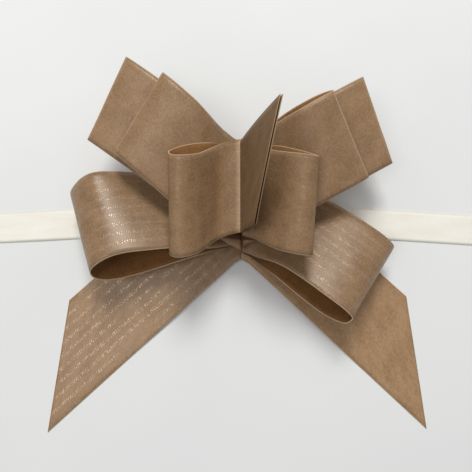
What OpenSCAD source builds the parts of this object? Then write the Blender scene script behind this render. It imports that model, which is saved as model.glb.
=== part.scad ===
// Pull bow with fanned loops, lying on its back.
// Origin: on the resting plane, under the hub axis. +Z up through the hub,
// +X to the right along the carrier band, +Y towards the upper loops.

/* [Ribbon] */
// Width of the bow ribbon
ribbon_w = 30; // [24:1:36]
// Thickness of the bow ribbon
ribbon_t = 0.3; // [0.2:0.05:0.4]
// Gap between the hub axis and each ribbon's welded end
hub_gap = 0.8; // [0.6:0.1:1.2]

/* [Large loops] */
// Reach of the left large loop from the hub
left_large_reach = 55; // [45:1:66]
// Reach of the right large loop from the hub
right_large_reach = 52; // [43:1:62]

/* [Rear loops] */
// Reach of the left rear loop from the hub
left_rear_reach = 54; // [45:1:65]
// Reach of the right rear loop from the hub
right_rear_reach = 51; // [42:1:61]

/* [Front loops] */
// Reach of the left front loop from the hub
left_front_reach = 41; // [34:1:49]
// Reach of the right front loop from the hub
right_front_reach = 38.5; // [32:0.5:46]

/* [Centre loops] */
// Reach of the left centre loop from the hub
left_centre_reach = 22.5; // [18.5:0.5:27]
// Reach of the right centre loop from the hub
right_centre_reach = 22.5; // [18.5:0.5:27]

/* [Tails] */
// Length of the left tail along its middle
left_tail_length = 86; // [70:1:104]
// Length of the right tail along its middle
right_tail_length = 83; // [69:1:100]
// Slant of the scissor cut across each tail
tail_cut_angle = 49; // [0:1:55]

/* [End flaps] */
// Length of the end flaps along their middle
flap_length = 28.5; // [23:0.5:35]
// Slant of the scissor cut across the end flaps
flap_cut_angle = 37; // [0:1:42]
// Lean of the end flaps from upright
flap_lean = 15; // [0:1:25]

/* [Carrier band] */
// Width of the carrier band
band_w = 11; // [8:0.5:13]
// Thickness of the carrier band
band_t = 0.25; // [0.15:0.05:0.4]
// Length of the band to the left of the hub
band_left = 93; // [75:1:112]
// Length of the band to the right of the hub
band_right = 91; // [73:1:110]

/* [Pull ribbons] */
// Width of each pull ribbon
pull_w = 5; // [4:0.5:6]
// Thickness of each pull ribbon
pull_t = 0.2; // [0.15:0.05:0.25]
// Clearance round the band inside the tie
tie_clearance = 0.5; // [0.4:0.1:1]

/* [Hidden] */

kraft = [0.60, 0.47, 0.35];
kraft_dark = [0.50, 0.38, 0.27];
cream = [0.96, 0.94, 0.88];

// Stations along each loop and each tail
loop_steps = 28;
tail_steps = 14;
// Radius over which a ribbon turns from the weld line to its own direction
settle_r = 28;

// Height of each welded layer at the hub, from the back of the bow to its top.
// The right-hand layers lie one ply_step above the left-hand ones.
ply_step = 0.8;
tail_z = 1.7;
large_z = [4.2, 5.4];
rear_z = [9.2, 10.2];
front_z = [12.6, 13.6];
centre_z = [15.8, 19.2];
flap_z = 22.2;

// How each loop lies: direction in plan, rise from the hub to the fold, height of its
// upper long edge over its lower one where it is rolled over, skew of its fold line,
// swell of the lower and the upper layer, how late the swell starts, how early the
// rise comes. The front loops rise with their reach, so that they clear the rear ones.
left_large_lie = [194, 9, 8.269, -6, 5.5, 8, 1.7, 1];
right_large_lie = [-35, 7.5, -7.765, 0, 3, 7, 1.9, 1];
left_rear_lie = [145, 12.5, -7.258, -9, 0.8, 0.8, 1.5, 2.4];
right_rear_lie = [27, 10.5, 9.271, 7, 0.8, 0.8, 1.5, 2.4];
left_front_lie = [143, 0.317 * left_front_reach, -5.209, -4, 0.8, 2, 1.5, 2];
right_front_lie = [26, 0.3117 * right_front_reach, 10.261, 0, 0.8, 3.2, 1.5, 2];
left_centre_lie = [195, 12.5, -3.136, 14, 1.5, 2, 1.3, 2];
right_centre_lie = [-17, 11.5, 2.093, -12, 1, 1.5, 1.3, 2];

// Directions of the two tails in plan
left_tail_az = 222.3;
right_tail_az = -43;
// Radii between which a tail comes down to the resting plane
tail_down = [30, 62];

// The weld line of the end flaps sits a little towards the upper loops
flap_shift = 1.5;
// Distance between the two end flaps where they leave the hub
flap_gap = 2 * 0.5;

// The band passes under the hub off its middle, and each half falls away from there
band_mid_y = -4.4;
band_fall_left = 3;
band_fall_right = -3.7;
// Length of the raised stretch that the tie lifts off the resting plane, and its ramps
band_flat = 6;
band_ramp = 14;
tie_len = pull_w;
band_lift = pull_t + tie_clearance / 2;

// Part of the way from 0 to 1, with an easy start and end
function ease(x) = let (c = min(1, max(0, x))) c * c * (3 - 2 * c);

// Swell of a teardrop at angle a of its run, 1 at its fattest
function teardrop(a, late) =
    let (peak = pow(sqrt(late / (late + 1)), late) * sqrt(1 / (late + 1)))
    pow(sin(a), late) * abs(cos(a)) / peak;

// Direction along the ribbon and across it, in plan
function along(az) = [cos(az), sin(az), 0];
function across(az) = [-sin(az), cos(az), 0];
function side_of(az) = cos(az) < 0 ? -1 : 1;

// Half of the ribbon's ruling: across the ribbon, rolled, and slanted in plan
function ruling(az, roll, slant, w) =
    w / 2 * (cos(roll) * across(az) + [0, 0, sin(roll)] + slant * along(az));

// Slant of the ruling: parallel to the weld line at the hub, skewed at the far end
function slant_at(az, far_slant, r) =
    let (k = ease(r / settle_r)) tan(az) * (1 - k) + far_slant * k;

// One station [middle, half ruling] of a loop at angle a of its run, 0 to 180
function loop_station(lie, reach, z, a) =
    let (az = lie[0],
         r = reach * sin(a),
         roll = asin(lie[2] / ribbon_w) * ease(r / settle_r),
         swell = (a < 90 ? -lie[4] : lie[5]) * teardrop(a, lie[6]),
         mid_z = z[0] + (z[1] - z[0]) * a / 180 + lie[1] * (1 - pow(1 - r / reach, lie[7])),
         up = [0, 0, cos(roll)] - sin(roll) * across(az))
    [[side_of(az) * hub_gap, 0, mid_z] + r * along(az) + swell * up,
     ruling(az, roll, slant_at(az, tan(lie[3]), r), ribbon_w)];

// One station of a tail at distance r from the hub
function tail_station(az, z, cut, r, length) =
    let (down = ease((r - tail_down[0]) / (tail_down[1] - tail_down[0])),
         far = ease((r - settle_r) / (length - settle_r)),
         slant = slant_at(az, 0, r) + far * tan(cut))
    [[side_of(az) * hub_gap, 0, z + (ribbon_t / 2 - z) * down] + r * along(az),
     ruling(az, 0, slant, ribbon_w)];

// Surface normal at station i of a run
function normal_at(run, i) =
    let (last = len(run) - 1,
         t = run[min(last, i + 1)][0] - run[max(0, i - 1)][0],
         n = cross(t, run[i][1]))
    n / norm(n);

// The four corners of the ribbon's section at station i
function section(run, i, thick) =
    let (c = run[i][0], w = run[i][1], n = normal_at(run, i) * thick / 2)
    [c - w - n, c + w - n, c + w + n, c - w + n];

// A ribbon of even thickness through a run of stations. Each quad of the upper face
// is split along the same diagonal as the one under it, so a twist keeps the thickness.
module ribbon(run, thick) {
    count = len(run);
    points = [for (i = [0 : count - 1]) each section(run, i, thick)];
    walls = [for (i = [0 : count - 2], j = [0 : 3])
        let (a = 4 * i + j, b = 4 * i + (j + 1) % 4, c = b + 4, d = a + 4)
        each j < 2 ? [[a, c, b], [a, d, c]] : [[a, d, b], [b, d, c]]];
    last = 4 * (count - 1);
    ends = [[0, 1, 2], [0, 2, 3], [last, last + 2, last + 1], [last, last + 3, last + 2]];
    polyhedron(points = points, faces = concat(walls, ends));
}

module loop(lie, reach, z) {
    lift = side_of(lie[0]) > 0 ? ply_step : 0;
    run = [for (i = [0 : loop_steps])
        loop_station(lie, reach, z + [lift, lift], 180 * i / loop_steps)];
    color(kraft) ribbon(run, ribbon_t);
}

module tail(az, length, cut) {
    lift = side_of(az) > 0 ? ply_step : 0;
    run = [for (i = [0 : tail_steps])
        tail_station(az, tail_z + lift, cut, length * i / tail_steps, length)];
    color(kraft) ribbon(run, ribbon_t);
}

// Outline of an end flap, weld line along X, cut end up
module flap_outline() {
    slope = tan(flap_cut_angle) * ribbon_w / 2;
    polygon([[-ribbon_w / 2, 0], [ribbon_w / 2, 0],
             [ribbon_w / 2, flap_length + slope], [-ribbon_w / 2, flap_length - slope]]);
}

module end_flap(side) {
    color(kraft_dark)
        translate([side * flap_gap / 2, flap_shift, flap_z])
            rotate([0, flap_lean, 0])
                rotate([90, 0, 90])
                    translate([0, 0, -ribbon_t / 2])
                        linear_extrude(ribbon_t) flap_outline();
}

// Height of the band's underside at distance x from the hub
function band_z(x) = band_lift * (1 - ease((abs(x) - band_flat) / band_ramp));

module carrier_band() {
    xs = [-band_left,
          for (i = [0 : 4]) -band_flat - band_ramp * (1 - i / 4),
          for (i = [0 : 4]) band_flat + band_ramp * i / 4,
          band_right];
    run = [for (x = xs)
        let (fall = x < 0 ? band_fall_left : band_fall_right)
        [[x, band_mid_y + x * tan(fall), band_z(x) + band_t / 2], [0, band_w / 2, 0]]];
    color(cream) ribbon(run, band_t);
}

// Flat sleeve of pull ribbon round the band, under the hub
module pull_tie() {
    inner_w = band_w + 2 * tie_clearance;
    inner_h = band_t + tie_clearance;
    color(kraft)
        translate([0, band_mid_y, pull_t + inner_h / 2])
            difference() {
                cube([tie_len, inner_w + 2 * pull_t, inner_h + 2 * pull_t], center = true);
                cube([tie_len + 2, inner_w, inner_h], center = true);
            }
}

// One pull ribbon, upright in the hub between the welded ribbons
module pull_ribbon(side) {
    foot = 2 * pull_t + band_t + tie_clearance;
    slack = 0.1;
    color(kraft)
        translate([side * (pull_t + slack) / 2 - pull_t / 2, -pull_w / 2, foot])
            cube([pull_t, pull_w, flap_z - ply_step - foot]);
}

module left_pull_ribbon() { pull_ribbon(-1); }
module right_pull_ribbon() { pull_ribbon(1); }
module left_tail() { tail(left_tail_az, left_tail_length, tail_cut_angle); }
module right_tail() { tail(right_tail_az, right_tail_length, -tail_cut_angle); }
module left_large_loop() { loop(left_large_lie, left_large_reach, large_z); }
module right_large_loop() { loop(right_large_lie, right_large_reach, large_z); }
module left_rear_loop() { loop(left_rear_lie, left_rear_reach, rear_z); }
module right_rear_loop() { loop(right_rear_lie, right_rear_reach, rear_z); }
module left_front_loop() { loop(left_front_lie, left_front_reach, front_z); }
module right_front_loop() { loop(right_front_lie, right_front_reach, front_z); }
module left_centre_loop() { loop(left_centre_lie, left_centre_reach, centre_z); }
module right_centre_loop() { loop(right_centre_lie, right_centre_reach, centre_z); }
module left_end_flap() { end_flap(-1); }
module right_end_flap() { end_flap(1); }

carrier_band();
pull_tie();
left_pull_ribbon();
right_pull_ribbon();
left_tail();
right_tail();
left_large_loop();
right_large_loop();
left_rear_loop();
right_rear_loop();
left_front_loop();
right_front_loop();
left_centre_loop();
right_centre_loop();
left_end_flap();
right_end_flap();
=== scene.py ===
import math

import bpy
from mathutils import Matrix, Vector, noise


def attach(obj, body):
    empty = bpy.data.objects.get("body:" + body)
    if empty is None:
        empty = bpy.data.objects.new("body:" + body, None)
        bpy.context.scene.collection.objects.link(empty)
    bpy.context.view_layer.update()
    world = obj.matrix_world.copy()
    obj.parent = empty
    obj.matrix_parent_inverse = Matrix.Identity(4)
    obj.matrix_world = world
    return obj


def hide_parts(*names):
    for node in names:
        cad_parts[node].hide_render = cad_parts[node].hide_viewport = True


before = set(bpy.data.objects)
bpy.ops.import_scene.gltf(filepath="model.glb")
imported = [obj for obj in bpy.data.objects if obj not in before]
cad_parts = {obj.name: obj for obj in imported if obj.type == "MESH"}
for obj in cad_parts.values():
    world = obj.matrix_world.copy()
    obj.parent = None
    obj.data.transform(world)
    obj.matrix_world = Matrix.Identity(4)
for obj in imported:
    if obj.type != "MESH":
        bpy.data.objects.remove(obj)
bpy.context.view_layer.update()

# ---------------------------------------------------------------- sizes, in millimetres
MM = 0.001
RIBBON_W = 30.0
RIBBON_T = 0.26
HUB_GAP = 0.8           # from the hub axis to each weld
SETTLE_R = 28.0         # from this radius on a loop keeps its own roll and slant
PLY_STEP = 0.8          # how much higher the right-hand layers lie
TAIL_Z = 1.7
TAIL_DOWN = (30.0, 62.0)  # radii between which a tail comes down to the surface
FLAP_Z = 22.33
FLAP_SHIFT = 1.2
FLAP_LEN = 26.5
FLAP_CUT = 36.0         # degrees
FLAP_SLOPE = math.tan(math.radians(FLAP_CUT)) * RIBBON_W / 2
# A flap stands FLAP_GAP from the middle at its weld and comes FLAP_CLOSING nearer by FLAP_CLOSED of its run
FLAP_GAP, FLAP_CLOSING, FLAP_CLOSED = 0.5, 0.18, 24.0
FLAP_LEAN, FLAP_BEND, FLAP_RISE = 0.2, 0.0015, 0.968
BAND_W, BAND_T = 11.0, 0.25
BAND_MID_Y = -4.4
BAND_ENDS = (-93.0, 91.0)
BAND_FALL = (3.0, -3.7)  # degrees, left and right of the hub
# How high the band is raised or rippled, from which x, and over what length that fades out or in
BAND_LIFT, BAND_LIFT_X, BAND_LIFT_RUN = 0.45, 6.0, 14.0
BAND_RIPPLE, BAND_RIPPLE_X, BAND_RIPPLE_RUN, BAND_RIPPLE_LEN = 0.12, 24.0, 30.0, 17.0
PULL_W, PULL_T = 5.0, 0.2
PULL_X = 0.15
PULL_BOTTOM, PULL_TOP = 1.15, 21.4
TIE_ROOM = (1.0, 0.5)   # how much wider and higher the tie is inside than the band
TIE_CORNER = 0.4
# Within FADE_R the lower and upper welded ends go PAST_AXIS on towards the axis. They leave the pull ribbons
# free up to CLEAR_Y, and the upper ones on the left rise a little
FADE_R = 3.5
PAST_AXIS = (1.05, 0.8)
CLEAR_Y, CLEAR_RUN = 3.4, 1.4
LEFT_RISE = 0.3
WAVE = 0.16
CALM_RUN = 14.0         # waves die out over this length at each end
UV_MM = 100.0           # millimetres in one unit of the ribbon map
PRINT_PITCH = 3.2
PRINT_LEAN = 0.45
STROKE_PITCH = 0.75
VIEW_ANGLE = 52.175195  # degrees

# name: body, reach, lie (azimuth, rise, roll, skew, swell low, swell high, late, power), levels
LOOPS = {
    "left_large_loop": ("large_left", 55.0, (194, 9, 16, -6, 5.5, 8, 1.7, 1), (4.2, 5.4)),
    "right_large_loop": ("large_right", 52.0, (-35, 7.5, -15, 0, 3, 7, 1.9, 1), (4.2, 5.4)),
    "left_rear_loop": ("rear_left", 54.0, (144.8, 12.5, -9.5, -9, 0.8, 0.8, 1.5, 2.4), (9.2, 10.2)),
    "right_rear_loop": ("rear_right", 50.4, (28.4, 10.5, 13, 7, 0.8, 0.8, 1.5, 2.4), (9.2, 10.2)),
    "left_front_loop": ("front_left", 41.0, (143, 13, -10, -4, 0.8, 2, 1.5, 2), (12.6, 13.6)),
    "right_front_loop": ("front_right", 38.3, (27.1, 12, 20, 0, 0.8, 3.2, 1.5, 2), (12.6, 13.6)),
    "left_centre_loop": ("centre_left", 22.5, (195, 12.5, -6, 14, 1.5, 2, 1.3, 2), (15.8, 19.2)),
    "right_centre_loop": ("centre_right", 22.5, (-17, 11.5, 4, -12, 1, 1.5, 1.3, 2), (15.8, 19.2)),
}

# name: body, azimuth, length, angle of the cut, lift
TAILS = {
    "left_tail": ("tail_left", 222.3, 86.0, 49.0, 0.0),
    "right_tail": ("tail_right", -43.0, 83.0, -49.0, PLY_STEP),
}

# Where a ribbon wanders off its straight run: share of the run, then mm towards +Y, mm up, and in some
# mm that the +Y edge rises and the other one falls
DRIFT = {
    "left_centre_loop": ((0, 0, 0), (0.07, 1.2, 0.2), (0.13, 2.0, 0.4), (0.23, 2.2, 0.2), (0.36, 1.6, 0),
                         (0.5, 0.3, 0), (0.68, -2.5, 1.2), (0.795, -2.4, -0.6), (0.845, -0.8, -2.3),
                         (0.892, 0.9, -3.0), (0.93, 1.5, -1.9), (0.97, 1.8, 0.3), (1, 1.9, 2.5)),
    "right_centre_loop": ((0, 0, 0), (0.15, 1.3, 0.4), (0.23, 1.1, 0.4), (0.34, 0.7, 0.2), (0.5, 0, 0),
                          (0.7, -1.3, 0.8), (0.8, -1.6, 0.2), (0.87, -1.1, -0.8), (0.96, 0.6, -0.4),
                          (1, 1.0, 0.7)),
    "left_front_loop": ((0, 0, 0), (0.12, -1.8, 0), (0.25, -0.6, 0), (0.5, 0, 0), (0.75, -0.8, -0.3),
                        (0.88, -2.2, -0.8), (0.95, -1.2, -0.2), (1, 0, 0)),
    "right_front_loop": ((0, 0, 0), (0.12, 0.9, 0), (0.3, 1.1, 0), (0.5, 0, 0), (0.7, 0, -0.4),
                         (0.88, -0.3, -0.7), (1, 0, 0)),
    "left_large_loop": ((0, 0, 0, 0), (0.15, -1.0, 0, 0), (0.35, -1.6, 0, 0), (0.5, -0.4, 0, 0.4),
                        (0.6, 0.2, 0.2, 0.6), (0.7, 1.5, 0.8, 1.8), (0.8, 0.8, 0.1, 0.6),
                        (0.9, 0.1, 0, 0.2), (1, 0, 0, 0)),
    "right_large_loop": ((0, 0, 0), (0.12, -1.4, 0), (0.28, -3.0, 0), (0.4, -2.0, 0), (0.5, -0.2, 0),
                         (0.62, -0.8, 0), (0.72, -0.6, 0), (0.85, 1.2, 0), (0.93, 1.2, 0), (1, 0, 0)),
}

# How far a loop's lower and upper end go on towards the axis, where another's lie close to them
PAST = {"left_rear_loop": (0.55, 0.55), "right_rear_loop": (0.55, 0.55),
        "left_front_loop": (0.45, 0.45), "right_front_loop": (0.45, 0.45),
        "left_centre_loop": (0.4, 1.05), "right_centre_loop": (0.4, 0.8)}

# Where a fold carries a painted highlight: share of the run, strength, mm half width
PAINTED_FOLD_HIGHLIGHTS = {"left_centre_loop": (0.983, 0.6, 1.0),
           "left_front_loop": (0.505, 0.3, 0.35), "right_front_loop": (0.505, 0.7, 0.35),
           "left_rear_loop": (0.503, 0.3, 0.3), "right_rear_loop": (0.503, 0.3, 0.3)}

# Steps along and across each mesh
LOOP_STEPS = (144, 18)
TAIL_STEPS = (96, 20)
FLAP_STEPS = (60, 20)
BAND_STEPS = (240, 10)
PULL_STEPS = (40, 6)
CORNER_STEPS = 6


def ease(x):
    """A smooth step from 0 to 1."""
    c = min(1.0, max(0.0, x))
    return c * c * (3 - 2 * c)


def drift(knots, t):
    """A smooth curve through the knots: the shift of the middle, and the rise of the +Y edge."""
    for i in range(len(knots) - 1):
        if t <= knots[i + 1][0]:
            break
    a, b = knots[i], knots[i + 1]
    before, after = knots[max(0, i - 1)], knots[min(len(knots) - 1, i + 2)]
    span = b[0] - a[0]
    x = (t - a[0]) / span
    out = []
    for c in range(1, len(a)):
        m0 = (b[c] - before[c]) / (b[0] - before[0]) * span
        m1 = (after[c] - a[c]) / (after[0] - a[0]) * span
        out.append((2 * x ** 3 - 3 * x ** 2 + 1) * a[c] + (x ** 3 - 2 * x ** 2 + x) * m0
                   + (3 * x ** 2 - 2 * x ** 3) * b[c] + (x ** 3 - x ** 2) * m1)
    return Vector((0, out[0], out[1])), Vector((0, 0, out[2] if len(out) > 2 else 0))


def drifted(station, knots, t):
    """The station moved by its drift, its ruling as long as before."""
    (middle, half), (shift, tilt) = station, drift(knots, t)
    tilted = half + (tilt if half.y > 0 else -tilt)
    return middle + shift, tilted * (half.length / tilted.length)


def teardrop(a, late):
    """A bulge from 0 to 1 over half a turn, highest past the middle of each layer."""
    peak = math.sqrt(late / (late + 1)) ** late * math.sqrt(1 / (late + 1))
    return max(0.0, math.sin(a)) ** late * abs(math.cos(a)) / peak


def along(az):
    return Vector((math.cos(az), math.sin(az), 0))


def across(az):
    return Vector((-math.sin(az), math.cos(az), 0))


def side_of(az):
    return -1 if math.cos(az) < 0 else 1


def slant_at(az, far_slant, r):
    """How far the ruling leans along the run: square to the hub at the weld, and far_slant from SETTLE_R on."""
    k = ease(r / SETTLE_R)
    return math.tan(az) * (1 - k) + far_slant * k


def ruling(az, roll, slant):
    """Half the line straight across the ribbon, from its middle to its edge."""
    return (across(az) * math.cos(roll) + Vector((0, 0, math.sin(roll))) + along(az) * slant) * (RIBBON_W / 2)


def loop_station(reach, lie, z, a):
    """Middle and half ruling of a loop at angle a of its run, 0 at its lower weld and pi at its upper one."""
    az, rise, roll_to, skew, low, high, late, power = lie
    az = math.radians(az)
    r = reach * math.sin(a)
    k = ease(r / SETTLE_R)
    roll = math.radians(roll_to) * k
    swell = (-low if a < math.pi / 2 else high) * teardrop(a, late)
    mid_z = z[0] + (z[1] - z[0]) * a / math.pi + rise * (1 - max(0.0, 1 - r / reach) ** power)
    up = Vector((0, 0, math.cos(roll))) - across(az) * math.sin(roll)
    middle = Vector((side_of(az) * HUB_GAP, 0, mid_z)) + along(az) * r + up * swell
    return middle, ruling(az, roll, slant_at(az, math.tan(math.radians(skew)), r))


def tail_station(az, z, cut, r, length):
    """Middle and half ruling of a tail at radius r. It comes down to the surface and ends in a slanted cut."""
    az = math.radians(az)
    down = ease((r - TAIL_DOWN[0]) / (TAIL_DOWN[1] - TAIL_DOWN[0]))
    far = ease((r - SETTLE_R) / (length - SETTLE_R))
    slant = slant_at(az, 0, r) + far * math.tan(math.radians(cut))
    middle = Vector((side_of(az) * HUB_GAP, 0, z + (RIBBON_T / 2 + 0.02 - z) * down)) + along(az) * r
    return middle, ruling(az, 0, slant)


# ---------------------------------------------------------------- ribbon meshes
def waves(run, v, seed):
    """A broad wave and a finer one at a place on the ribbon."""
    p = Vector((run / 11 + seed, v / 17, seed * 1.7))
    q = Vector((run / 4.3 + v / 9 + seed * 3, v / 8, seed))
    return noise.noise(p) + 0.35 * noise.noise(q)


def ribbon_mesh(name, rows, thick, mats, width, wave=0.0, seed=0.0, flip=False, painted_fold_highlight=None):
    """A ribbon through rows of points of its middle surface, in millimetres, and its length.

    mats are its face, its back and its cut edge, and flip puts the face on the other side.
    """
    n, m = len(rows) - 1, len(rows[0]) - 1
    runs = [0.0]
    for i in range(n):
        runs.append(runs[-1] + (rows[i + 1][m // 2] - rows[i][m // 2]).length)
    normals = []
    for i in range(n + 1):
        line = []
        for j in range(m + 1):
            t = rows[min(n, i + 1)][j] - rows[max(0, i - 1)][j]
            w = rows[i][min(m, j + 1)] - rows[i][max(0, j - 1)]
            c = t.cross(w)
            line.append(c.normalized() if c.length > 1e-9 else Vector((0, 0, 1)))
        normals.append(line)
    verts = []
    for s in (1, -1):
        for i in range(n + 1):
            for j in range(m + 1):
                v = width * (j / m - 0.5)
                grow = ease(min(runs[i], runs[-1] - runs[i]) / CALM_RUN)
                lift = wave * grow * waves(runs[i], v, seed)
                verts.append((rows[i][j] + normals[i][j] * (s * thick / 2 + lift)) * MM)
    size = (n + 1) * (m + 1)
    faces, kinds = [], []
    for i in range(n):
        for j in range(m):
            a = i * (m + 1) + j
            b, c, d = a + 1, a + m + 2, a + m + 1
            faces.append((a, d, c, b))
            kinds.append(1 if flip else 0)
            faces.append((size + a, size + b, size + c, size + d))
            kinds.append(0 if flip else 1)
    border = [(0, j) for j in range(m)] + [(i, m) for i in range(n)]
    border += [(n, j) for j in range(m, 0, -1)] + [(i, 0) for i in range(n, 0, -1)]
    ring = [i * (m + 1) + j for i, j in border]
    for a, b in zip(ring, ring[1:] + ring[:1]):
        faces.append((a, b, size + b, size + a))
        kinds.append(2)
    mesh = bpy.data.meshes.new(name)
    mesh.from_pydata(verts, [], faces)
    uv = mesh.uv_layers.new(name="ribbon")
    # Strength of the painted fold highlight at each point
    fold_highlight_attr = mesh.attributes.new("painted_fold_highlight", "FLOAT", "POINT")
    for k in range(2 * size if painted_fold_highlight else 0):
        place, strength, half_width = painted_fold_highlight
        off = (runs[k % size // (m + 1)] - place * runs[-1]) / half_width
        fold_highlight_attr.data[k].value = strength * math.exp(-off ** 2)
    for poly, kind in zip(mesh.polygons, kinds):
        poly.material_index = kind
        poly.use_smooth = kind != 2
        for k in poly.loop_indices:
            i, j = divmod(mesh.loops[k].vertex_index % size, m + 1)
            uv.data[k].uv = (runs[i] / UV_MM, (j / m - 0.5) * width / UV_MM)
    for material in mats:
        mesh.materials.append(material)
    obj = bpy.data.objects.new(name, mesh)
    bpy.context.scene.collection.objects.link(obj)
    return obj, runs[-1]


def close_hub(rows, side, radii, past=PAST_AXIS, over=False):
    """Carries the lower and upper welded ends on towards the hub axis, beside the pull ribbons or over them."""
    for i, (row, r) in enumerate(zip(rows, radii)):
        near = 1 - ease(r / FADE_R)
        upper = i > len(rows) // 2
        for p in row if near > 0 else ():
            beside = 1.0 if over and upper else ease((abs(p.y) - CLEAR_Y) / CLEAR_RUN)
            p.x -= side * past[upper] * near * beside
            if upper and side < 0 and not over:
                p.z += LEFT_RISE * near
    return rows


def rows_of(stations, across_steps):
    """Points across each ruling."""
    return [[middle + half * (2 * j / across_steps - 1) for j in range(across_steps + 1)]
            for middle, half in stations]


# ---------------------------------------------------------------- materials
def srgb(r, g, b, tone=1.0):
    def lin(c):
        c /= 255
        return tone * (c / 12.92 if c <= 0.04045 else ((c + 0.055) / 1.055) ** 2.4)
    return lin(r), lin(g), lin(b), 1.0


class Nodes:
    """A short way to write a material's nodes."""

    def __init__(self, name):
        self.mat = bpy.data.materials.new(name)
        self.mat.use_nodes = True
        self.tree = self.mat.node_tree
        self.shader = self.tree.nodes["Principled BSDF"]

    def put(self, socket, value):
        if isinstance(value, bpy.types.NodeSocket):
            self.tree.links.new(value, socket)
        else:
            socket.default_value = value

    def math(self, op, a, b=0.0):
        node = self.tree.nodes.new("ShaderNodeMath")
        node.operation = op
        for socket, value in zip(node.inputs, (a, b)):
            self.put(socket, value)
        return node.outputs[0]

    def step(self, x, low, high):
        node = self.tree.nodes.new("ShaderNodeMapRange")
        node.interpolation_type = "SMOOTHSTEP"
        for key, value in (("Value", x), ("From Min", low), ("From Max", high)):
            self.put(node.inputs[key], value)
        return node.outputs[0]

    def mix(self, fac, a, b):
        node = self.tree.nodes.new("ShaderNodeMix")
        node.data_type = "RGBA"
        self.put(node.inputs[0], fac)
        self.put(node.inputs[6], a)
        self.put(node.inputs[7], b)
        return node.outputs[2]

    def vector(self, x, y, z=0.0):
        node = self.tree.nodes.new("ShaderNodeCombineXYZ")
        for socket, value in zip(node.inputs, (x, y, z)):
            self.put(socket, value)
        return node.outputs[0]

    def noise(self, vector, scale=1.0, detail=2.0, rough=0.5):
        node = self.tree.nodes.new("ShaderNodeTexNoise")
        self.put(node.inputs["Vector"], vector)
        node.inputs["Scale"].default_value = scale
        node.inputs["Detail"].default_value = detail
        node.inputs["Roughness"].default_value = rough
        return node.outputs[0]

    def along_across(self):
        """Millimetres along and across the ribbon."""
        uv = self.tree.nodes.new("ShaderNodeUVMap")
        uv.uv_map = "ribbon"
        split = self.tree.nodes.new("ShaderNodeSeparateXYZ")
        self.put(split.inputs[0], uv.outputs[0])
        return (self.math("MULTIPLY", split.outputs[0], UV_MM),
                self.math("MULTIPLY", split.outputs[1], UV_MM))

    def away_from_hub(self):
        """0 where the layers meet in the hub, 1 further out."""
        place = self.tree.nodes.new("ShaderNodeTexCoord").outputs["Object"]
        split = self.tree.nodes.new("ShaderNodeSeparateXYZ")
        self.put(split.inputs[0], place)
        return self.step(self.math("ABSOLUTE", split.outputs[0]), 0.002, 0.013)

    def bump(self, height, distance, strength):
        node = self.tree.nodes.new("ShaderNodeBump")
        node.inputs["Strength"].default_value = strength
        node.inputs["Distance"].default_value = distance
        self.put(node.inputs["Height"], height)
        self.put(self.shader.inputs["Normal"], node.outputs[0])


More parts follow.
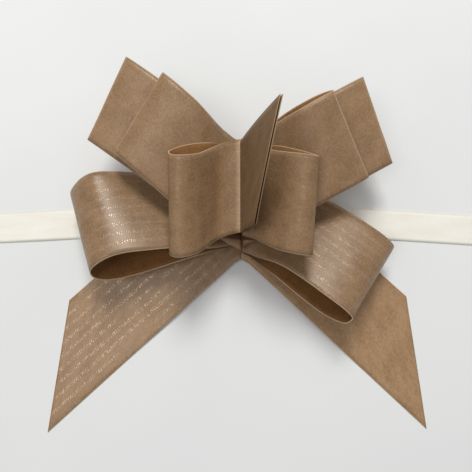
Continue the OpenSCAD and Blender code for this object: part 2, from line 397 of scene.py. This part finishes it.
def kraft(name, light, dark, ink_share, rough, spec=0.5, painted_hub_shade=None):
    """Kraft-look ribbon film. The printed side carries rows of short pearly strokes along the ribbon."""
    k = Nodes(name)
    u, v = k.along_across()
    cloud = k.noise(k.vector(u, v), 0.16, 3.0, 0.6)
    fibre = k.noise(k.vector(k.math("MULTIPLY", u, 0.85), v), 1.3, 4.0, 0.7)
    grain = k.noise(k.vector(u, v, 3.0), 4.5, 2.0, 0.6)
    fac = k.math("ADD", k.math("MULTIPLY", k.step(cloud, 0.3, 0.7), 0.36),
                 k.math("ADD", k.math("MULTIPLY", k.step(fibre, 0.35, 0.66), 0.34),
                        k.math("MULTIPLY", k.step(grain, 0.35, 0.65), 0.3)))
    colour = k.mix(fac, dark, light)
    # Painted highlight: the colour lightens along the folds and the crest listed for it
    fold_highlight_attr = k.tree.nodes.new("ShaderNodeAttribute")
    fold_highlight_attr.attribute_name = "painted_fold_highlight"
    fold_highlight_fac = k.math("MULTIPLY", fold_highlight_attr.outputs["Fac"], k.math("ADD", 0.4, fibre))
    colour = k.mix(fold_highlight_fac, colour, srgb(206, 172, 136))
    # Painted highlight: both edges of the face are lightened, less towards the hub
    painted_rim_highlight = k.step(k.math("ABSOLUTE", v), RIBBON_W / 2 - 0.36, RIBBON_W / 2 - 0.12)
    painted_rim_highlight = k.math("MULTIPLY", painted_rim_highlight, k.math("MULTIPLY", k.away_from_hub(), 0.55))
    colour = k.mix(painted_rim_highlight, colour, srgb(214, 188, 156))
    # Painted shade: the colour darkens towards the hub where the layers meet
    if painted_hub_shade:
        colour = k.mix(k.away_from_hub(), painted_hub_shade, colour)
    ribs = k.noise(k.vector(u, k.math("MULTIPLY", v, 0.3)), 0.8, 2.0, 0.5)
    height = k.math("ADD", k.math("MULTIPLY", grain, 0.35),
                    k.math("ADD", k.math("MULTIPLY", fibre, 0.5), k.math("MULTIPLY", ribs, 0.25)))
    roughness = k.math("ADD", k.math("MULTIPLY", fibre, 0.16), rough - 0.08)
    if ink_share:
        row = k.math("DIVIDE", v, PRINT_PITCH)
        cell = k.math("FLOOR", row)
        off = k.math("ABSOLUTE", k.math("SUBTRACT", k.math("FRACT", row), 0.5))
        body = k.math("SUBTRACT", 1.0, k.step(off, 0.13, 0.24))
        phrase = k.noise(k.vector(u, k.math("MULTIPLY", cell, 13.7), 5.0), 0.13, 1.0, 0.4)
        leaning = k.math("ADD", u, k.math("MULTIPLY", v, PRINT_LEAN))
        strokes = k.math("SINE", k.math("MULTIPLY", leaning, 2 * math.pi / STROKE_PITCH))
        patchy = k.noise(k.vector(u, v, 9.0), 1.6, 3.0, 0.8)
        stroke = k.math("ADD", k.math("MULTIPLY", strokes, 0.06), patchy)
        broken = k.math("MULTIPLY", k.step(phrase, 0.34, 0.44), k.step(stroke, 0.46, 0.6))
        ink = k.math("MULTIPLY", body, broken)
        colour = k.mix(k.math("MULTIPLY", ink, ink_share), colour, srgb(232, 216, 194))
        roughness = k.math("SUBTRACT", roughness, k.math("MULTIPLY", ink, 0.1))
        k.put(k.shader.inputs["Metallic"], k.math("MULTIPLY", ink, 0.22))
        height = k.math("ADD", height, k.math("MULTIPLY", ink, 0.5))
    k.put(k.shader.inputs["Base Color"], colour)
    k.put(k.shader.inputs["Roughness"], roughness)
    k.shader.inputs["Specular IOR Level"].default_value = spec
    k.bump(height, 0.00006, 0.6)
    return k.mat


def cut_edge(name, colour_a, colour_b, painted_edge_shade=None):
    """A ribbon's cut edge, mottled between two colours, and darkened towards the hub as painted shade where a
    hub colour is given.
    """
    k = Nodes(name)
    u, v = k.along_across()
    colour = k.mix(k.noise(k.vector(u, v), 1.3, 3.0, 0.6), colour_a, colour_b)
    # Painted shade towards the hub
    if painted_edge_shade:
        colour = k.mix(k.away_from_hub(), painted_edge_shade, colour)
    k.put(k.shader.inputs["Base Color"], colour)
    k.shader.inputs["Roughness"].default_value = 0.6
    k.bump(k.noise(k.vector(u, v), 4.0, 2.0), 0.00004, 0.4)
    return k.mat


def cream_satin(name):
    """Cream ribbon: very fine ribs across it and a plain selvedge down each side."""
    k = Nodes(name)
    u, v = k.along_across()
    cloud = k.noise(k.vector(k.math("MULTIPLY", u, 0.25), v), 0.3, 2.0, 0.5)
    thread = k.noise(k.vector(k.math("MULTIPLY", u, 0.4), k.math("MULTIPLY", v, 3.0)), 2.0, 3.0, 0.6)
    rib = k.math("SINE", k.math("MULTIPLY", u, 2 * math.pi / 0.55))
    selvedge = k.step(k.math("ABSOLUTE", v), BAND_W / 2 - 0.75, BAND_W / 2 - 0.45)
    fac = k.math("ADD", k.math("MULTIPLY", cloud, 0.6), k.math("MULTIPLY", thread, 0.4))
    colour = k.mix(k.step(fac, 0.3, 0.7), srgb(243, 238, 224), srgb(250, 247, 237))
    colour = k.mix(k.math("MULTIPLY", selvedge, 0.35), colour, srgb(232, 226, 208))
    k.put(k.shader.inputs["Base Color"], colour)
    k.put(k.shader.inputs["Roughness"], k.math("ADD", 0.34, k.math("MULTIPLY", thread, 0.16)))
    k.shader.inputs["Sheen Weight"].default_value = 0.15
    height = k.math("ADD", k.math("MULTIPLY", rib, k.math("SUBTRACT", 0.5, k.math("MULTIPLY", selvedge, 0.4))),
                    k.math("ADD", k.math("MULTIPLY", thread, 0.5), k.math("MULTIPLY", selvedge, 0.8)))
    k.bump(height, 0.00005, 0.5)
    return k.mat


def pale_board(name):
    """The matt pale surface that the bow lies on."""
    k = Nodes(name)
    coords = k.tree.nodes.new("ShaderNodeTexCoord").outputs["Object"]
    k.put(k.shader.inputs["Base Color"],
          k.mix(k.step(k.noise(coords, 9.0, 3.0, 0.55), 0.3, 0.7), srgb(232, 233, 232), srgb(237, 237, 236)))
    k.shader.inputs["Roughness"].default_value = 0.7
    k.shader.inputs["Specular IOR Level"].default_value = 0.25
    k.bump(k.noise(coords, 260.0, 3.0, 0.6), 0.0002, 0.12)
    return k.mat


def kraft_face(name, tone, ink_share, rough, spec=0.45):
    """The printed side, lighter or darker by tone, which paints light or shade onto the parts that wear it."""
    return kraft(name, srgb(176, 142, 106, tone), srgb(134, 101, 68, tone), ink_share, rough, spec)


# Lit and shaded copies of one kraft face, set part by part as painted light and shade: the centre loops and end
# flaps are darkened as painted shade, the right tail is lightened as painted light, and on the left tail and
# the large loops the pearly print shows more strongly as painted glints
FACE = kraft_face("kraft_face", 0.9, 0.03, 0.45)
FACE_CENTRE_SHADED = kraft_face("kraft_face_centre_shaded", 0.77, 0.03, 0.5, 0.28)
FACE_FLAP_SHADED = kraft_face("kraft_face_end_shaded", 0.62, 0.03, 0.55, 0.15)
FACE_LARGE_GLINT = kraft_face("kraft_face_large_glint", 0.82, 0.12, 0.36)
FACE_TAIL_LIT = kraft_face("kraft_face_tail_lit", 1.14, 0.02, 0.44)
FACE_TAIL_GLINT = kraft_face("kraft_face_tail_glint", 1.0, 0.3, 0.36)
# The unprinted matt back, its colours darkened as painted shade for the insides of the loops, and darker still
# towards the hub as painted shade
BACK_SHADED = kraft("kraft_back_shaded", srgb(146, 104, 62), srgb(110, 73, 38), 0, 0.62, 0.15, srgb(84, 56, 34))
# The kraft cut edge is pale as a painted highlight along it, and darkened towards the hub as painted shade
EDGE_LIT = cut_edge("kraft_edge_lit", srgb(200, 170, 138), srgb(222, 194, 162), srgb(112, 80, 50))
PULL = kraft("pull_film", srgb(158, 127, 97), srgb(140, 109, 81), 0, 0.36)
CREAM = cream_satin("cream_satin")
CREAM_EDGE = cut_edge("cream_edge", srgb(226, 219, 200), srgb(240, 234, 218))

FACES = {"left_tail": FACE_TAIL_GLINT, "right_tail": FACE_TAIL_LIT,
         "left_large_loop": FACE_LARGE_GLINT, "right_large_loop": FACE_LARGE_GLINT,
         "left_centre_loop": FACE_CENTRE_SHADED, "right_centre_loop": FACE_CENTRE_SHADED,
         "left_end_flap": FACE_FLAP_SHADED, "right_end_flap": FACE_FLAP_SHADED}


def kraft_mats(node):
    """The face, the back and the cut edge of a stretch of bow ribbon."""
    return FACES.get(node, FACE), BACK_SHADED, EDGE_LIT


def declare(obj, body, node):
    """Rides obj on body in place of the node, which it hides."""
    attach(obj, body)
    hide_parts(node)


# ---------------------------------------------------------------- loops
for index, (node, (body, reach, lie, levels)) in enumerate(LOOPS.items()):
    side = side_of(math.radians(lie[0]))
    lift = PLY_STEP if side > 0 else 0.0
    z = (levels[0] + lift, levels[1] + lift)
    turns = [math.pi * i / LOOP_STEPS[0] for i in range(LOOP_STEPS[0] + 1)]
    stations = [loop_station(reach, lie, z, a) for a in turns]
    if node in DRIFT:
        stations = [drifted(station, DRIFT[node], i / LOOP_STEPS[0]) for i, station in enumerate(stations)]
    rows = close_hub(rows_of(stations, LOOP_STEPS[1]), side, [reach * math.sin(a) for a in turns],
                     PAST.get(node, PAST_AXIS), over=node == "left_centre_loop")
    obj, length = ribbon_mesh(node + "_ribbon", rows, RIBBON_T, kraft_mats(node), RIBBON_W, wave=WAVE,
                              seed=3.1 * index + 0.7, flip=True, painted_fold_highlight=PAINTED_FOLD_HIGHLIGHTS.get(node))
    declare(obj, body, node)

# ---------------------------------------------------------------- tails
for node, (body, az, length, cut, lift) in TAILS.items():
    radii = [length * i / TAIL_STEPS[0] for i in range(TAIL_STEPS[0] + 1)]
    stations = [tail_station(az, TAIL_Z + lift, cut, r, length) for r in radii]
    rows = close_hub(rows_of(stations, TAIL_STEPS[1]), side_of(math.radians(az)), radii)
    obj, run = ribbon_mesh(node + "_ribbon", rows, RIBBON_T, kraft_mats(node), RIBBON_W)
    declare(obj, body, node)


# ---------------------------------------------------------------- end flaps
def flap_rows(side):
    """A flap bends up out of the weld, leaning over the right-hand loops."""
    steps, width_steps = FLAP_STEPS
    rows = []
    for i in range(steps + 1):
        row = []
        for j in range(width_steps + 1):
            y = RIBBON_W * (j / width_steps - 0.5)
            run = (FLAP_LEN + FLAP_SLOPE * 2 * y / RIBBON_W) * i / steps
            gap = FLAP_GAP - FLAP_CLOSING * ease(run / FLAP_CLOSED)
            x = side * gap + FLAP_LEAN * run + FLAP_BEND * run * run
            row.append(Vector((x, FLAP_SHIFT + y, FLAP_Z + FLAP_RISE * run)))
        rows.append(row)
    return rows


for node, side in (("left_end_flap", -1), ("right_end_flap", 1)):
    obj, _ = ribbon_mesh(node + "_ribbon", flap_rows(side), RIBBON_T, kraft_mats(node), RIBBON_W, flip=side > 0)
    declare(obj, "end_flaps", node)


# ---------------------------------------------------------------- band
def band_rows():
    """The band lies on the surface in faint ripples, raised a little where it passes through the tie."""
    steps, width_steps = BAND_STEPS
    left, right = BAND_ENDS
    rows = []
    for i in range(steps + 1):
        x = left + (right - left) * i / steps
        fall = math.tan(math.radians(BAND_FALL[x >= 0]))
        lift = BAND_LIFT * (1 - ease((abs(x) - BAND_LIFT_X) / BAND_LIFT_RUN))
        ripple = BAND_RIPPLE * ease((abs(x) - BAND_RIPPLE_X) / BAND_RIPPLE_RUN)
        ripple = ripple * (1 + noise.noise(Vector((x / BAND_RIPPLE_LEN, 0.3, 2))))
        z = lift + ripple + BAND_T / 2 + 0.01
        rows.append([Vector((x, BAND_MID_Y + x * fall + BAND_W * (j / width_steps - 0.5), z))
                     for j in range(width_steps + 1)])
    return rows


obj, run = ribbon_mesh("carrier_band_ribbon", band_rows(), BAND_T, (CREAM, CREAM, CREAM_EDGE), BAND_W)
declare(obj, "band", "carrier_band")


# ---------------------------------------------------------------- pull ribbons and their tie
def pull_rows(x):
    """A pull ribbon stands upright in the hub."""
    steps, width_steps = PULL_STEPS
    return [[Vector((x, PULL_W * (j / width_steps - 0.5), PULL_BOTTOM + (PULL_TOP - PULL_BOTTOM) * i / steps))
             for j in range(width_steps + 1)] for i in range(steps + 1)]


def tie_rows():
    """The tie is a flat sleeve round the band with rounded corners."""
    inner_w, inner_h = BAND_W + TIE_ROOM[0], BAND_T + TIE_ROOM[1]
    half_w, half_h = inner_w / 2 + PULL_T / 2, inner_h / 2 + PULL_T / 2
    width_steps = PULL_STEPS[1]
    rows = []
    for side_y, side_z, start in ((1, 1, 0), (-1, 1, 90), (-1, -1, 180), (1, -1, 270)):
        for step in range(CORNER_STEPS + 1):
            turn = math.radians(start + 90 * step / CORNER_STEPS)
            y = side_y * (half_w - TIE_CORNER) + TIE_CORNER * math.cos(turn)
            z = side_z * (half_h - TIE_CORNER) + TIE_CORNER * math.sin(turn)
            rows.append([Vector((PULL_W * (j / width_steps - 0.5), BAND_MID_Y + y, PULL_T + inner_h / 2 + z))
                         for j in range(width_steps + 1)])
    return rows + rows[:1]


for node, x in (("left_pull_ribbon", -PULL_X), ("right_pull_ribbon", PULL_X)):
    obj, _ = ribbon_mesh(node + "_strip", pull_rows(x), PULL_T, (PULL, PULL, EDGE_LIT), PULL_W)
    declare(obj, "hub", node)

obj, _ = ribbon_mesh("pull_tie_strip", tie_rows(), PULL_T, (PULL, PULL, EDGE_LIT), PULL_W)
declare(obj, "hub", "pull_tie")

# ---------------------------------------------------------------- stage, light and camera
floor_mesh = bpy.data.meshes.new("floor")
floor_mesh.from_pydata([(-3, -3, 0), (3, -3, 0), (3, 3, 0), (-3, 3, 0)], [], [(0, 1, 2, 3)])
floor = bpy.data.objects.new("floor", floor_mesh)
bpy.context.scene.collection.objects.link(floor)
floor_mesh.materials.append(pale_board("pale_board"))


def area_light(name, place, target, size, power, colour):
    light = bpy.data.lights.new(name, "AREA")
    light.shape = "RECTANGLE"
    light.size, light.size_y = size
    light.energy = power
    light.color = colour
    obj = bpy.data.objects.new(name, light)
    obj.location = place
    obj.rotation_euler = (Vector(target) - Vector(place)).to_track_quat("-Z", "Y").to_euler()
    bpy.context.scene.collection.objects.link(obj)


area_light("key", (0.0, 0.39, 0.6), (0, 0, 0), (0.22, 0.22), 2.9, (1.0, 0.995, 0.98))
area_light("gloss", (-0.24, -0.1, 0.62), (-0.02, 0, 0), (0.22, 0.22), 0.6, (1.0, 0.99, 0.97))

world = bpy.data.worlds.new("studio")
world.use_nodes = True
world.node_tree.nodes["Background"].inputs[0].default_value = (0.97, 0.985, 1.0, 1)
world.node_tree.nodes["Background"].inputs[1].default_value = 0.4
bpy.context.scene.world = world
bpy.context.scene.view_settings.view_transform = "Standard"

camera_data = bpy.data.cameras.new("camera")
camera_data.sensor_fit = "HORIZONTAL"
camera_data.angle = math.radians(VIEW_ANGLE)
camera_data.clip_start = 0.005
camera = bpy.data.objects.new("camera", camera_data)
camera.location = (-0.002, -0.0365, 0.1746)
camera.rotation_euler = (math.radians(8), 0, 0)
bpy.context.scene.collection.objects.link(camera)
bpy.context.scene.camera = camera
